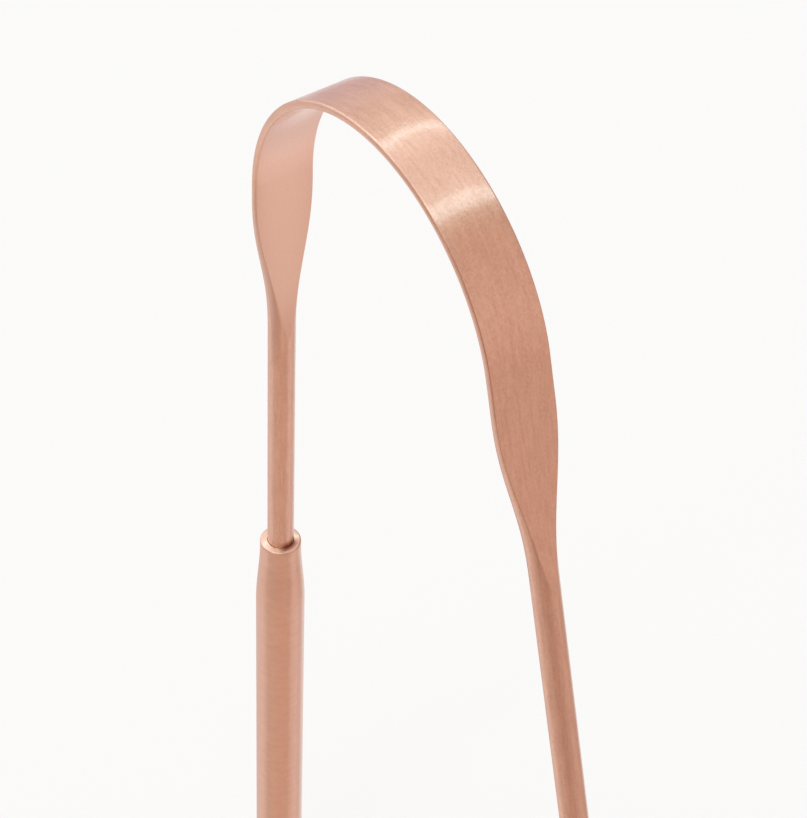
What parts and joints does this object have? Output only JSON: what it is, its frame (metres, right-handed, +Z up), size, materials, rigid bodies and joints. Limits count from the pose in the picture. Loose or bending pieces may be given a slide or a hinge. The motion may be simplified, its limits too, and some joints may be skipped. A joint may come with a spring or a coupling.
{
  "type": "tongue scraper",
  "caption": "Copper tongue scraper: a round rod bent to a U and pressed flat into a springy scraping band, with a tapered tube handle on each leg.",
  "frame": {"origin": "underside of the bow at its highest point, where a hook or peg carries the scraper when it hangs", "axes": "+Z up with the bow on top, X across the two legs, Y along the width of the scraping band"},
  "size_m": [0.0828, 0.0076, 0.1429],
  "materials": {
    "copper_band": "bare copper, brushed along the band, satin",
    "copper_tube": "bare copper, brushed round the tube, satin",
    "copper_plug": "bare copper, turned, satin"
  },
  "bodies": {
    "bow_and_left_handle": {"scraping_bow": "copper_band", "left_handle": "copper_tube", "left_end_plug": "copper_plug"},
    "right_grip": {"right_handle": "copper_tube", "right_end_plug": "copper_plug"}
  },
  "joints": [
    {"name": "bow_flex", "type": "hinge", "parent": "bow_and_left_handle", "child": "right_grip", "pos_m": [0, 0, -0.00632], "axis": [0, 1, 0], "range_deg": [-8, 16], "stiffness_Nm_per_rad": 0.85, "deforming": ["scraping_bow"]}
  ]
}
